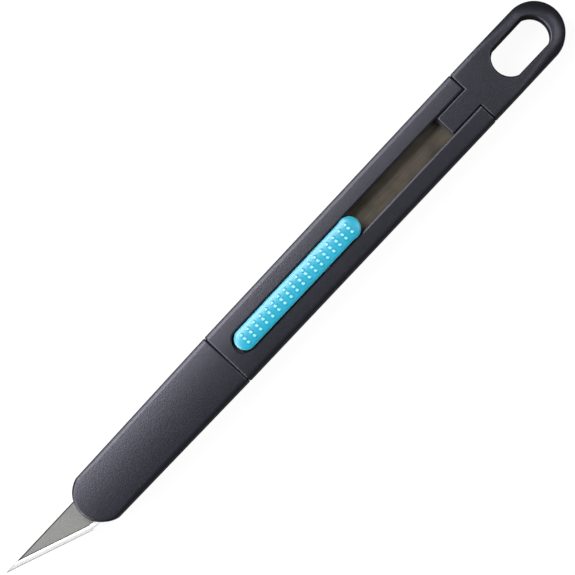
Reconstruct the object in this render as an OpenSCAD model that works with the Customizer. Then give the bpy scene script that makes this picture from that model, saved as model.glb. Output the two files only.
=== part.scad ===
// Retractable craft knife, drawn with the blade fully out and lying on its flat back.
// X runs from the blade tip (-X) to the hanging loop (+X). +Z is the side with the button.
// The origin is the middle of the body shell's flat back face. All sizes are millimetres.

/* [Handle] */
// Thickness of the handle, from its flat back to the middle of its front face
handle_t = 8; // [7.8:0.1:9]
// Length of the body shell
body_len = 64.6; // [64:0.2:68]
// Width of the body shell where it meets the nose
body_front_w = 11.1; // [11:0.1:12]
// Width of the body shell where it meets the end cap
body_rear_w = 11.5; // [11.3:0.1:12.4]
// Fillet along the long edges of the handle
edge_r = 0.6; // [0.3:0.1:0.8]
// How far the middle of the front face stands above its long edges
crown = 0.3; // [0.1:0.05:0.4]

/* [Nose] */
// Length of the nose sleeve
nose_len = 38.2; // [37:0.1:40]
// Width of the nose sleeve at its front
nose_front_w = 10.2; // [10.1:0.05:10.8]
// Width of the nose sleeve at the body
nose_rear_w = 11.05; // [10.9:0.05:11.8]
// Radius of the nose's rounded front, seen from above
nose_tip_r = 5.3; // [5.2:0.1:6]
// Open line between the nose and the body shell
seam_gap = 0.1; // [0.1:0.05:0.5]

/* [End cap] */
// Length of the end cap outside the body shell
cap_len = 21.75; // [20:0.05:24]
// Width of the end cap
cap_w = 11.4; // [11.2:0.1:12.2]
// Length of the tongue that closes the rear of the slot
tongue_len = 7.2; // [6:0.1:7.4]
// Length of the hanging hole
hang_hole_len = 12.1; // [10:0.1:12.4]
// Width of the hanging hole
hang_hole_w = 6.66; // [6:0.02:7]

/* [Button] */
// Width of the slot in the body shell
slot_w = 4.5; // [4.4:0.1:4.8]
// Length of the button
button_len = 31.4; // [31:0.05:32]
// Width of the button
button_w = 4.05; // [3.8:0.05:4.1]
// How far the top of the button stands above the handle
button_rise = 1.0; // [0.6:0.1:1.6]
// Number of grip bumps in a row along the button
bump_cols = 18; // [8:1:18]
// Number of rows of grip bumps
bump_rows = 3; // [1:1:3]
// How far the button can be pressed
press_travel = 0.4; // [0.2:0.05:0.4]

/* [Blade] */
// Width of the blade
blade_w = 6.1; // [5.5:0.1:6.2]
// Thickness of the blade
blade_t = 0.45; // [0.3:0.05:0.45]
// Whole length of the blade
blade_len = 35.4; // [34:0.2:38]
// Length of blade that shows in front of the nose
blade_out = 17.1; // [14:0.05:18]
// Angle between the cutting edge and the spine
blade_angle = 20.6; // [20:0.1:30]

/* [Hidden] */

// Places along the knife
body_x0 = -body_len / 2;
body_x1 = body_len / 2;
nose_x1 = body_x0 - seam_gap;
nose_x0 = nose_x1 - nose_len;
cap_x0 = body_x1 + 0.1;
cap_x1 = cap_x0 + cap_len;
tongue_x0 = body_x1 - tongue_len;
slot_x0 = body_x0 + 2.32;
button_x0 = slot_x0 + 0.6;
button_x1 = button_x0 + button_len;
blade_tip_x = nose_x0 - blade_out;
blade_rear_x = blade_tip_x + blade_len;

// Casing
wall = 1.2;
cavity_half_w = 4.15;
cavity_top = handle_t - wall;
rib_w = 1;
rib_y = 2.6;
nose_tip_z0 = 0.7;
nose_tip_z1 = handle_t - 0.35;
nose_block_len = 4.3;
slice_t = 0.01;
edge_steps = 4;
crown_steps = 8;
cap_crown = 0.1;

// Spigot at the front of the body shell that the rear of the nose slides over
spigot_len = 2.2;
spigot_t = 0.5;
spigot_side_t = 0.85;
spigot_gap = 0.06;

// Steel channel, a strip folded into a flat C that is open towards the button
sheet_t = 0.5;
channel_half_w = 4.05;
channel_top = cavity_top - 0.05;
channel_h = 3.1;
channel_z0 = channel_top - channel_h;
floor_z = channel_z0 + sheet_t;
lip_z = channel_top - sheet_t;
channel_x0 = nose_x0 + nose_block_len + 0.1;
channel_x1 = tongue_x0 - 0.05;
lip_gap = 4.7;
notch_pitch = 2;
notch_count = 12;
notch_len = 1.1;
notch_depth = 0.7;

// Blade and the steel arm that carries it
slip = 0.05;
blade_z0 = floor_z + slip;
blade_y = -0.32;
blade_top = blade_z0 + blade_t;
holder_z0 = blade_top + slip;
holder_t = 0.8;
holder_top = holder_z0 + holder_t;
holder_x0 = blade_rear_x - 5;
stud_x = blade_rear_x - 2.5;
stud_r = 0.78;
bevel_w = 1;

// Carriage, a shallow tray that slides in the channel
carriage_half_w = channel_half_w - sheet_t - slip;
carriage_z0 = floor_z + slip;
carriage_top = lip_z - 0.1;
tray_x0 = button_x0 - 0.9;
tray_x1 = button_x1 - 0.43;
tray_wall = 0.55;
tray_floor_t = 0.8;
tray_floor = carriage_z0 + tray_floor_t;
tray_relief = carriage_z0 + 0.25;
carriage_x0 = tray_x0 - 7.6;
bumper_t = 0.8;
bumper_out = 0.25;

// Lock spring under the button, clamped at its front end
spring_t = 0.2;
spring_w = 2;
spring_z0 = tray_floor + slip;
spring_top = spring_z0 + spring_t;
spring_x0 = button_x0 + 2.5;
spring_root_x = spring_x0 + 2;
spring_x1 = spring_root_x + 18;
press_x = spring_root_x + 14;
tooth_x0 = spring_x1 - 2;
tooth_len = 1.4;
tooth_half_w = 2.9;
tooth_top = lip_z - slip;

// Button and the core that joins it to the carriage
core_w = 3.3;
core_x0 = button_x0 + 0.5;
core_x1 = button_x1 - 1.1;
core_z0 = spring_top + 0.75;
core_top = cavity_top + 0.2;
flange_z0 = core_z0 - 0.25;
flange_top = lip_z - 0.1;
flange_half_w = 2.85;
post_r = 0.8;
post_clearance = 0.07;
post_x = [core_x0 + 1, core_x1 - 3.4];
button_top = handle_t + button_rise;
bump_d = 0.72;
bump_h = 0.22;
bump_pitch_x = 1.6;
bump_pitch_y = 0.9;
bump_x0 = button_x0 + 2.04;

// Rivets and screws
rivet_r = 0.5;
rivet_gap = 0.02;
channel_rivet_x = [button_x0 + 4, button_x0 + 24];
catch_rivet_x = nose_x1 - 3;
holder_x1 = tray_x0 - 0.1;
holder_rivet_x = [carriage_x0 + 2, holder_x1 - 2];
spring_rivet_x = [spring_root_x - 1, spring_root_x + 1];
spring_rivet_r = 0.4;
screw_x = [core_x0 + 9, core_x1 - 6.2];
screw_r = 0.45;
screw_head_r = 0.8;
screw_top = core_top + 0.9;

// Leaf that holds the nose on the channel
catch_top = channel_z0 - slip;
catch_t = 0.25;
catch_bump_r = 0.5;
catch_bump_x = catch_rivet_x - 10;

plastic_black = [0.17, 0.17, 0.18];
steel = [0.62, 0.61, 0.58];
dark_steel = [0.42, 0.40, 0.37];

// Corner arc of a section, a quarter turn from angle a0
function corner(cy, cz, a0) =
    [for (i = [0:edge_steps]) let (a = a0 + 90 * i / edge_steps)
        [cy + edge_r * cos(a), cz + edge_r * sin(a)]];

// Height of the crowned front face at distance y from the middle
function crown_z(y, w, z1, rise) = z1 - rise * pow(2 * y / w, 2);

// Section of the handle: flat back, straight sides, crowned front, filleted edges
function bar_section(w, z0, z1, rise) =
    let (e = w / 2 - edge_r, ze = crown_z(e, w, z1, rise) - edge_r)
    concat(
        corner(e, z0 + edge_r, -90),
        corner(e, ze, 0),
        [for (i = [1:crown_steps - 1]) let (y = e * (1 - 2 * i / crown_steps)) [y, crown_z(y, w, z1, rise)]],
        corner(-e, ze, 90),
        corner(-e, z0 + edge_r, 180)
    );

// Thin slice of the handle at x
module slice(x, w, z0, z1, rise = crown) {
    translate([x, 0, 0])
        rotate([90, 0, 90])
            linear_extrude(slice_t)
                polygon(bar_section(w, z0, z1, rise));
}

// Box given by its lowest and highest corners
module box(lo, hi) {
    translate(lo)
        cube(hi - lo);
}

// Flat plate with round ends, from x0 to x1 and from z0 to z1
module pill(x0, x1, w, z0, z1) {
    r = w / 2;
    translate([0, 0, z0])
        linear_extrude(z1 - z0)
            union() {
                translate([x0 + r, 0])
                    circle(r = r, $fn = 48);
                translate([x1 - r, 0])
                    circle(r = r, $fn = 48);
                translate([x0 + r, -r])
                    square([x1 - x0 - w, w]);
            }
}

// Upright round pin
module pin(x, y, r, z0, z1) {
    translate([x, y, z0])
        cylinder(r = r, h = z1 - z0, $fn = 32);
}

// Two lengthwise ribs that carry the channel inside the casing
module ribs(x0, x1, z0) {
    for (side = [-1, 1])
        box([x0, side * rib_y - rib_w / 2, z0], [x1, side * rib_y + rib_w / 2, channel_z0]);
}

// Opening for the channel, its side walls moved out by side and its floor and roof by grow
module opening(x0, x1, side, grow) {
    box([x0, -cavity_half_w - side, wall - grow], [x1, cavity_half_w + side, cavity_top + grow]);
}

module nose_outline() {
    centre_x = nose_x0 + nose_tip_r;
    translate([0, 0, -1])
        linear_extrude(handle_t + 2)
            union() {
                translate([centre_x, 0])
                    circle(r = nose_tip_r, $fn = 96);
                translate([centre_x, -nose_rear_w])
                    square([nose_x1 - centre_x, 2 * nose_rear_w]);
            }
}

module nose_sleeve() {
    inner_x0 = nose_x0 + nose_block_len;
    pocket_z0 = nose_tip_z0 + wall;
    spring_pocket_z = blade_top + 0.2;
    color(plastic_black) {
        difference() {
            intersection() {
                hull() {
                    slice(nose_x0, nose_front_w, nose_tip_z0, nose_tip_z1);
                    slice(nose_x1 - slice_t, nose_rear_w, 0, handle_t);
                }
                nose_outline();
            }
            opening(nose_x1 - spigot_len - 0.1, nose_x1 + 1,
                spigot_side_t + spigot_gap, spigot_t + spigot_gap);
            // room for the steel channel, open towards the body
            box([inner_x0, -cavity_half_w, pocket_z0], [nose_x1 + 1, cavity_half_w, cavity_top]);
            // exit slot for the blade
            box([nose_x0 - 1, blade_y - blade_w / 2 - 0.3, floor_z - 0.05],
                [inner_x0 + 1, blade_y + blade_w / 2 + 0.3, blade_top + 0.15]);
            // seat for the tip spring
            box([nose_x0 + 1.2, -1.6, blade_top + 0.1], [inner_x0 + 1, 1.6, spring_pocket_z + 0.25]);
        }
        ribs(inner_x0 - 0.5, nose_x1 - spigot_len - 0.2, pocket_z0 - 0.2);
        // ledge that the bump of the nose catch springs over
        box([catch_bump_x + 0.8, -rib_y, pocket_z0 - 0.2],
            [catch_bump_x + 1.8, rib_y, catch_top - catch_t - catch_bump_r - slip]);
    }
}

// Leaf that keeps the blade from rattling in the nose
module tip_spring() {
    z0 = blade_top + 0.25;
    dimple_x = nose_x0 + 10.5;
    dimple_r = 0.2;
    color(steel) {
        box([nose_x0 + 1.25, -1.5, z0], [nose_x0 + 12, 1.5, z0 + 0.15]);
        translate([dimple_x, 1, z0])
            rotate([90, 0, 0])
                cylinder(r = dimple_r, h = 2, $fn = 24);
    }
}

module body_shell() {
    color(plastic_black) {
        difference() {
            union() {
                hull() {
                    slice(body_x0, body_front_w, 0, handle_t);
                    slice(body_x1 - slice_t, body_rear_w, 0, handle_t);
                }
                opening(nose_x1 - spigot_len, body_x0 + 1, spigot_side_t, spigot_t);
            }
            opening(nose_x0, body_x1 + 1, 0, 0);
            // slot for the button, round at the front and open at the rear
            pill(slot_x0, body_x1 + slot_w, slot_w, cavity_top - 0.5, handle_t + 1);
        }
        difference() {
            union() {
                ribs(body_x0 + 0.5, tongue_x0 - 0.5, wall - 0.2);
                for (x = channel_rivet_x)
                    pin(x, 0, 1.5, wall - 0.2, channel_z0);
            }
            for (x = channel_rivet_x)
                pin(x, 0, rivet_r + rivet_gap, wall + 0.3, channel_z0 + 1);
        }
    }
}

module channel_section() {
    polygon([
        [-channel_half_w, channel_z0],
        [channel_half_w, channel_z0],
        [channel_half_w, channel_top],
        [lip_gap / 2, channel_top],
        [lip_gap / 2, lip_z],
        [channel_half_w - sheet_t, lip_z],
        [channel_half_w - sheet_t, floor_z],
        [sheet_t - channel_half_w, floor_z],
        [sheet_t - channel_half_w, lip_z],
        [-lip_gap / 2, lip_z],
        [-lip_gap / 2, channel_top],
        [-channel_half_w, channel_top]
    ]);
}

module steel_channel() {
    notch_x0 = tooth_x0 + tooth_len / 2 - notch_len / 2;
    notch_half_w = lip_gap / 2 + notch_depth;
    color(dark_steel)
        difference() {
            translate([channel_x0, 0, 0])
                rotate([90, 0, 90])
                    linear_extrude(channel_x1 - channel_x0)
                        channel_section();
            // notches for the lock tooth, in the edges of both lips
            for (i = [0:notch_count - 1])
                box([notch_x0 + i * notch_pitch, -notch_half_w, lip_z - 0.2],
                    [notch_x0 + i * notch_pitch + notch_len, notch_half_w, channel_top + 0.5]);
            for (x = channel_rivet_x)
                translate([x, 0, channel_z0 - 0.1])
                    cylinder(r1 = rivet_r + rivet_gap - 0.1, r2 = rivet_r + 0.5, h = sheet_t + 0.2, $fn = 32);
            pin(catch_rivet_x, 0, rivet_r + rivet_gap, channel_z0 - 1, floor_z + 1);
        }
}

// Countersunk rivets that hold the channel down on two bosses of the body shell
module channel_rivets() {
    color(steel)
        for (x = channel_rivet_x) {
            pin(x, 0, rivet_r, wall + 0.4, channel_z0 + 0.1);
            translate([x, 0, channel_z0])
                cylinder(r1 = rivet_r - 0.05, r2 = rivet_r + 0.35, h = sheet_t, $fn = 32);
        }
}

// Leaf under the channel whose bump holds the nose in place
module nose_catch() {
    half_w = 1.1;
    color(steel)
        difference() {
            union() {
                box([catch_bump_x - 2, -half_w, catch_top - catch_t], [catch_rivet_x + 1.5, half_w, catch_top]);
                translate([catch_bump_x, half_w, catch_top - catch_t])
                    rotate([90, 0, 0])
                        cylinder(r = catch_bump_r, h = 2 * half_w, $fn = 32);
            }
            pin(catch_rivet_x, 0, rivet_r + rivet_gap, catch_top - 2, catch_top + 1);
            // the bump only stands out of the underside
            box([catch_bump_x - 2, -2, catch_top], [catch_bump_x + 2, 2, catch_top + 1]);
        }
}

module catch_rivet() {
    color(steel) {
        pin(catch_rivet_x, 0, rivet_r, catch_top - catch_t - 0.01, floor_z);
        pin(catch_rivet_x, 0, rivet_r + 0.35, catch_top - catch_t - 0.3, catch_top - catch_t);
    }
}

module hang_hole() {
    end_r = 3.6;
    x1 = cap_x1 - 3.28;
    x0 = x1 - hang_hole_len;
    translate([0, 0, -1])
        linear_extrude(handle_t + 2)
            intersection() {
                union() {
                    translate([x0 + end_r, 0])
                        circle(r = end_r, $fn = 96);
                    translate([x1 - end_r, 0])
                        circle(r = end_r, $fn = 96);
                    translate([x0 + end_r, -end_r])
                        square([hang_hole_len - 2 * end_r, 2 * end_r]);
                }
                translate([x0 - 1, -hang_hole_w / 2])
                    square([hang_hole_len + 2, hang_hole_w]);
            }
}

module end_cap() {
    round_x = cap_x1 - cap_w / 2;
    loop_drop = 0.6;
    loop_x = cap_x0 + 5;
    color(plastic_black) {
        difference() {
            intersection() {
                hull() {
                    slice(cap_x0, cap_w, 0, handle_t, cap_crown);
                    slice(loop_x, cap_w, 0, handle_t, cap_crown);
                    slice(cap_x1, cap_w, loop_drop, handle_t - loop_drop, cap_crown);
                }
                translate([0, 0, -1])
                    linear_extrude(handle_t + 2)
                        union() {
                            translate([round_x, 0])
                                circle(r = cap_w / 2, $fn = 96);
                            translate([cap_x0 - 1, -cap_w])
                                square([round_x - cap_x0 + 1, 2 * cap_w]);
                        }
            }
            hang_hole();
        }
        // plug that fits the body shell, with a seat for the bumper
        difference() {
            box([tongue_x0, -cavity_half_w + 0.1, wall + 0.1],
                [cap_x0 + 1, cavity_half_w - 0.1, cavity_top - 0.1]);
            bumper_block();
        }
        // tongue that fills the rear of the slot
        box([tongue_x0, -slot_w / 2 + 0.25, cavity_top - 0.5], [cap_x0 + 1, slot_w / 2 - 0.25, handle_t - 0.05]);
    }
}

module bumper_block() {
    x0 = tongue_x0 - bumper_out;
    box([x0, 0.3 - carriage_half_w, carriage_z0 + 0.1],
        [x0 + bumper_t, carriage_half_w - 0.3, carriage_top - 0.1]);
}

// Pad that stops the carriage softly at the end of its travel
module rear_bumper() {
    color([0.1, 0.1, 0.1])
        bumper_block();
}

module slide_carriage() {
    rail_in = carriage_half_w - tray_wall;
    color([0.12, 0.12, 0.13])
        difference() {
            union() {
                box([tray_x0, -carriage_half_w, carriage_z0], [tray_x1, carriage_half_w, carriage_top]);
                box([carriage_x0, -carriage_half_w, holder_top + slip],
                    [tray_x0 + 1, carriage_half_w, carriage_top]);
            }
            // tray between the two rails
            box([tray_x0 + 1, -rail_in, tray_floor], [tray_x1 - 0.5, rail_in, carriage_top + 1]);
            // room below the free end of the lock spring
            box([spring_root_x + 0.7, -rail_in, tray_relief], [spring_x1 + 1.5, rail_in, carriage_top + 1]);
            for (x = post_x)
                pin(x, 0, post_r + post_clearance, carriage_z0 - 1, carriage_top);
            for (x = spring_rivet_x)
                pin(x, 0, spring_rivet_r + 0.1, carriage_z0 - 1, carriage_top);
            for (x = holder_rivet_x)
                pin(x, 0, rivet_r + rivet_gap, carriage_z0, carriage_top + 1);
        }
}

// Flat steel arm between the carriage and the blade
module blade_holder() {
    color(steel)
        difference() {
            box([holder_x0, -3, holder_z0], [holder_x1, 3, holder_top]);
            pin(stud_x, blade_y, stud_r + rivet_gap, holder_z0 - 1, holder_top + 1);
            for (x = holder_rivet_x)
                pin(x, 0, rivet_r + rivet_gap, holder_z0 - 1, holder_top + 1);
        }
}

module holder_rivets() {
    color(steel)
        for (x = holder_rivet_x)
            pin(x, 0, rivet_r, holder_z0, carriage_top);
}

// Peg that the blade hooks on
module blade_stud() {
    color(steel) {
        pin(stud_x, blade_y, stud_r, blade_z0, holder_top);
        pin(stud_x, blade_y, stud_r + 0.4, holder_top, holder_top + 0.3);
    }
}

// Outline of the blade with its cutting side moved in by inset.
// The cutting edge leaves the tip at blade_angle and meets the full width at the heel.
module blade_outline(inset) {
    tip_x = blade_tip_x + inset / sin(blade_angle);
    spine_y = blade_y + blade_w / 2;
    low_y = blade_y - blade_w / 2 + inset;
    heel_x = tip_x + (spine_y - low_y) / tan(blade_angle);
    polygon([
        [tip_x, spine_y],
        [heel_x, low_y],
        [blade_rear_x, low_y],
        [blade_rear_x, spine_y]
    ]);
}

module blade() {
    edge_t = 0.02;
    color(steel)
        difference() {
            union() {
                // both faces slope down to the cutting edge
                hull() {
                    translate([0, 0, blade_z0 + (blade_t - edge_t) / 2])
                        linear_extrude(edge_t)
                            blade_outline(0);
                    translate([0, 0, blade_z0])
                        linear_extrude(blade_t)
                            blade_outline(bevel_w);
                }
                // the shank keeps its full thickness and width
                box([nose_x0 + 3, blade_y - blade_w / 2, blade_z0],
                    [blade_rear_x, blade_y + blade_w / 2, blade_top]);
            }
            pin(stud_x, blade_y, stud_r + 0.07, blade_z0 - 1, blade_top + 1);
        }
}

// Leaf that lifts the button; it bends at its root, between the two rivets
module lock_spring() {
    color(steel)
        difference() {
            box([spring_x0, -spring_w / 2, spring_z0], [spring_x1, spring_w / 2, spring_top]);
            for (x = spring_rivet_x)
                pin(x, 0, spring_rivet_r + 0.01, spring_z0 - 1, spring_top + 1);
        }
}

// Bar on the free end of the spring, just below the notched lips of the channel
module lock_tooth() {
    color(dark_steel)
        box([tooth_x0, -tooth_half_w, spring_top], [tooth_x0 + tooth_len, tooth_half_w, tooth_top]);
}

module spring_rivets() {
    color(steel)
        for (x = spring_rivet_x) {
            pin(x, 0, spring_rivet_r, carriage_z0 + 0.2, spring_top);
            pin(x, 0, spring_rivet_r + 0.25, spring_top, spring_top + 0.15);
        }
}

// Stem, flanges and guide posts of the button
module button_core() {
    nib_r = 0.3;
    color([0.1, 0.1, 0.11])
        difference() {
            union() {
                pill(core_x0, core_x1, core_w, core_z0, core_top);
                box([core_x0 + 0.6, -flange_half_w, flange_z0], [core_x1 - 0.6, flange_half_w, flange_top]);
                for (x = post_x)
                    pin(x, 0, post_r, tray_floor - 0.35, core_z0 + 0.1);
            }
            // channel above the spring, its rivets and the tooth
            difference() {
                box([post_x[0] + 1.2, -1.4, flange_z0 - 1], [post_x[1] - 1.2, 1.4, core_z0]);
                box([press_x - nib_r, -0.8, spring_top + 0.03 + nib_r], [press_x + nib_r, 0.8, core_z0 + 1]);
            }
            box([tooth_x0 - 0.4, -flange_half_w - 1, flange_z0 - 1],
                [tooth_x0 + tooth_len + 0.4, flange_half_w + 1, tooth_top + 0.1]);
            for (x = screw_x)
                pin(x, 0, screw_r + rivet_gap, core_z0 - 1, core_top + 1);
            for (x = screw_x)
                pin(x, 0, screw_head_r + rivet_gap, core_z0 - 1, core_z0 + 0.4);
        }
    color([0.1, 0.1, 0.11]) {
        translate([press_x, 0.8, spring_top + 0.03 + nib_r])
            rotate([90, 0, 0])
                cylinder(r = nib_r, h = 1.6, $fn = 32);
        box([press_x - nib_r, -0.8, spring_top + 0.03 + nib_r], [press_x + nib_r, 0.8, core_z0 + 0.1]);
    }
}

module button_outline() {
    r = button_w / 2;
    flare_r = r + 0.13;
    translate([button_x0 + r, 0])
        circle(r = r, $fn = 64);
    translate([button_x0 + r, -r])
        square([button_len - 2 * r, button_w]);
    // the rear end is a little wider, as a thumb rest
    translate([button_x1 - flare_r, 0])
        circle(r = flare_r, $fn = 64);
}

module slide_button() {
    dome_r = 4.3;
    bump_z = button_top - bump_h;
    color([0.18, 0.72, 0.86])
        difference() {
            union() {
                intersection() {
                    translate([0, 0, core_top])
                        linear_extrude(button_top)
                            button_outline();
                    translate([button_x0 - 1, 0, bump_z - dome_r])
                        rotate([0, 90, 0])
                            cylinder(r = dome_r, h = button_len + 2, $fn = 96);
                }
                for (i = [0:bump_cols - 1], j = [0:bump_rows - 1]) {
                    y = (j - (bump_rows - 1) / 2) * bump_pitch_y;
                    dome_z = bump_z - dome_r + sqrt(dome_r * dome_r - y * y);
                    translate([bump_x0 + i * bump_pitch_x, y, dome_z - 0.3])
                        cylinder(d = bump_d, h = bump_h + 0.3, $fn = 16);
                }
            }
            for (x = screw_x)
                pin(x, 0, screw_r + rivet_gap, core_top - 1, screw_top + 0.1);
        }
}

module button_screws() {
    color(steel)
        for (x = screw_x) {
            pin(x, 0, screw_r, core_z0 + 0.1, screw_top);
            pin(x, 0, screw_head_r, core_z0 + 0.05, core_z0 + 0.38);
        }
}

nose_sleeve();
tip_spring();
body_shell();
steel_channel();
channel_rivets();
nose_catch();
catch_rivet();
end_cap();
rear_bumper();
slide_carriage();
blade_holder();
holder_rivets();
blade_stud();
blade();
lock_spring();
lock_tooth();
spring_rivets();
button_core();
slide_button();
button_screws();
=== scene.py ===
"""Looks of a retractable craft knife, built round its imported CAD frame.

Shells are made in millimetres with lofts and cutters, then scaled to metres. X runs from the blade tip
to the hanging loop, +Z is the button side. Sizes come from the CAD nodes' boxes wherever they can.
"""
import math

import bmesh
import bpy
from mathutils import Matrix, Vector


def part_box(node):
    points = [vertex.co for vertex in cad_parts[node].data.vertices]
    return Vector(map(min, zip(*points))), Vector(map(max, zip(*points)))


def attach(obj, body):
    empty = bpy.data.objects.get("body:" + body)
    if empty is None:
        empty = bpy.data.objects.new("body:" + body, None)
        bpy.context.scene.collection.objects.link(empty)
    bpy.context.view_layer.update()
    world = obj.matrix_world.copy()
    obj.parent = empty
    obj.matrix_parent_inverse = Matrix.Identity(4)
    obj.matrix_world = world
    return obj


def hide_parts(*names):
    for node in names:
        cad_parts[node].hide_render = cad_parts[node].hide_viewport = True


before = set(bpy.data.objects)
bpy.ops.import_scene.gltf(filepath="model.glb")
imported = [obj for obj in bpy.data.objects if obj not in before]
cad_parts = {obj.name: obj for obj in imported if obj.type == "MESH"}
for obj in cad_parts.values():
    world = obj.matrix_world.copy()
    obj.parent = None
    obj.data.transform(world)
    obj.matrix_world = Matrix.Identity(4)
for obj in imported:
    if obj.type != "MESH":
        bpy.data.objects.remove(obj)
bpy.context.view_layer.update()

MM = 0.001
SMOOTH_ANGLE = math.radians(23.5)
# A cutter runs on this far past a face, and an added part this far into its neighbour
PAST = 1.0


def box_mm(node):
    """Lowest and highest corner of a CAD node, in millimetres."""
    low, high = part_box(node)
    return low / MM, high / MM


nose_lo, nose_hi = box_mm("nose_sleeve")
body_lo, body_hi = box_mm("body_shell")
cap_lo, cap_hi = box_mm("end_cap")
button_lo, button_hi = box_mm("slide_button")
blade_lo, blade_hi = box_mm("blade")
channel_lo = box_mm("steel_channel")[0]

# Casing sizes that a box can't give
HANDLE_TOP = body_hi.z
CROWN = 0.3
CAP_CROWN = 0.1
EDGE = (0.9, 0.27)
CORNER_R = 0.1
END_R = 0.3
END_SIDE_SHARE = 0.4
END_HOLD = 0.05
FILLET_STEPS = 4
STATION_PITCH = 1.5
SEAM_GAP = 0.1
BODY_X0 = nose_hi.x + SEAM_GAP
BODY_FRONT_W = 11.1
BODY_REAR_W = body_hi.y - body_lo.y
NOSE_FRONT_W = 10.2
NOSE_REAR_W = nose_hi.y - nose_lo.y
NOSE_TIP_R = 5.3
NOSE_TIP_Z0 = 0.7
NOSE_DIP = 0.8
NOSE_FRONT_EDGE = (0.5, 0.23)
NOSE_SOLID_LEN = 4.3
NOSE_OVERLAP = 0.5
BLADE_GAP_SIDE = 0.3
BLADE_GAP_BELOW = 0.1
BLADE_GAP_ABOVE = 0.15
CAP_W = cap_hi.y - cap_lo.y
CAP_X0 = body_hi.x + SEAM_GAP
CAP_FLAT_LEN = 5.0
CAP_EDGE = (0.9, 0.3)
CAP_STATION_PITCH = 0.8
PLUG_GAP = 0.1
PLUG_BEVEL = 0.15
LOOP_DROP = 0.6
LOOP_EDGE = (2.3, 0.9)
HOLE_LEN = 12.1
HOLE_HALF_W = 3.33
HOLE_END_R = 3.6
LOOP_END_W = 3.28
HOLE_X1 = cap_hi.x - LOOP_END_W
HOLE_X0 = HOLE_X1 - HOLE_LEN
HOLE_LIP_R = (0.35, 0.6)
HOLE_LIP_EASE = 2.0
ARC_STEPS = 24
WALL = 1.2
CAVITY_HALF_W = 4.15
CAVITY_TOP = HANDLE_TOP - WALL
SPIGOT_T = 0.5
SPIGOT_SIDE_T = 0.85
SPIGOT_GAP = 0.06
SLOT_HALF_W = 2.25
SLOT_MARGIN = 2.32
SLOT_X0 = BODY_X0 + SLOT_MARGIN
SLOT_LIP_W = 0.32
SLOT_LIP_H = 0.156
SLOT_SINK = 0.4
SLOT_RUN_OUT = 3.0
TONGUE_GAP = 0.25
TONGUE_HALF_W = SLOT_HALF_W - TONGUE_GAP
TONGUE_EDGE = (0.25, 0.1)
TONGUE_SINK = 0.5
TONGUE_FLUSH = 0.004
RIB_W = 1.0
RIB_Y = 2.6
RIB_SINK = 0.2
RIB_END_GAP = 0.5
RIB_SPIGOT_GAP = 0.2

# Studio
ROOM_LIGHT = 0.13
FLOOR_GLOW = 0.93
FLOOR_SIZE = 6.0
FLOOR_DROP = 0.02
LAMP_DISTANCE = 0.45


# ---------------------------------------------------------------- mesh tools

def new_object(name, bm):
    """Object in millimetres from a bmesh."""
    bmesh.ops.remove_doubles(bm, verts=bm.verts, dist=1e-4)
    bmesh.ops.recalc_face_normals(bm, faces=bm.faces)
    mesh = bpy.data.meshes.new(name)
    bm.to_mesh(mesh)
    bm.free()
    obj = bpy.data.objects.new(name, mesh)
    bpy.context.scene.collection.objects.link(obj)
    return obj


def bake(obj):
    """Applies every modifier of obj."""
    graph = bpy.context.evaluated_depsgraph_get()
    mesh = bpy.data.meshes.new_from_object(obj.evaluated_get(graph))
    obj.modifiers.clear()
    obj.data = mesh


def boolean(obj, other, operation):
    """Cuts or joins other with obj and removes other."""
    mod = obj.modifiers.new("boolean", "BOOLEAN")
    mod.operation = operation
    mod.object = other
    mod.solver = "EXACT"
    bake(obj)
    bpy.data.objects.remove(other)


def bevel(obj, width, segments=3, angle=40):
    """Rounds the sharp edges of obj."""
    mod = obj.modifiers.new("bevel", "BEVEL")
    mod.width = width
    mod.segments = segments
    mod.limit_method = "ANGLE"
    mod.angle_limit = math.radians(angle)
    mod.harden_normals = False


def skin(rings, close_ends=True):
    """bmesh whose quads join closed rings of points."""
    bm = bmesh.new()
    loops = [[bm.verts.new(p) for p in ring] for ring in rings]
    for near, far in zip(loops, loops[1:]):
        for i in range(len(near)):
            j = (i + 1) % len(near)
            bm.faces.new((near[i], near[j], far[j], far[i]))
    if close_ends:
        bm.faces.new(list(reversed(loops[0])))
        bm.faces.new(loops[-1])
    return bm


def block(name, low, high):
    """Plain box, only used as a cutter or to be joined and rounded."""
    rings = [
        [(low[0], low[1], z), (high[0], low[1], z), (high[0], high[1], z), (low[0], high[1], z)]
        for z in (low[2], high[2])
    ]
    return new_object(name, skin(rings))


def prism(name, outline, levels):
    """Solid whose outline(grow, z) is stacked over (grow, z) levels."""
    return new_object(name, skin([outline(grow, z) for grow, z in levels]))


def rod(name, x, y, radius, z0, z1, steps=32):
    """Upright round bar."""
    def circle(grow, z):
        turns = (2 * math.pi * i / steps for i in range(steps))
        return [(x + (radius + grow) * math.cos(t), y + (radius + grow) * math.sin(t), z) for t in turns]
    return prism(name, circle, [(0, z0), (0, z1)])


def quarter(radius, steps):
    """(distance in from the side, distance down from the face) along a fillet, side first."""
    for i in range(steps + 1):
        turn = math.pi / 2 * i / steps
        yield radius * (1 - math.cos(turn)), radius * (1 - math.sin(turn))


def lerp(a, b, share):
    """The value that lies share of the way from a to b."""
    return a + (b - a) * share


def blend(a, b, share):
    """lerp for two tuples."""
    return tuple(lerp(one, other, share) for one, other in zip(a, b))


def smoothstep(edge0, edge1, value):
    """0 before edge0, 1 after edge1, with a soft rise between."""
    t = min(1.0, max(0.0, (value - edge0) / (edge1 - edge0)))
    return t * t * (3 - 2 * t)


def rolled(away, width, drop):
    """Fall of a face at a point that is away from its edge: drop at the edge, nothing beyond width."""
    return drop * (1 - min(1.0, max(0.0, away / width))) ** 2


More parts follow.
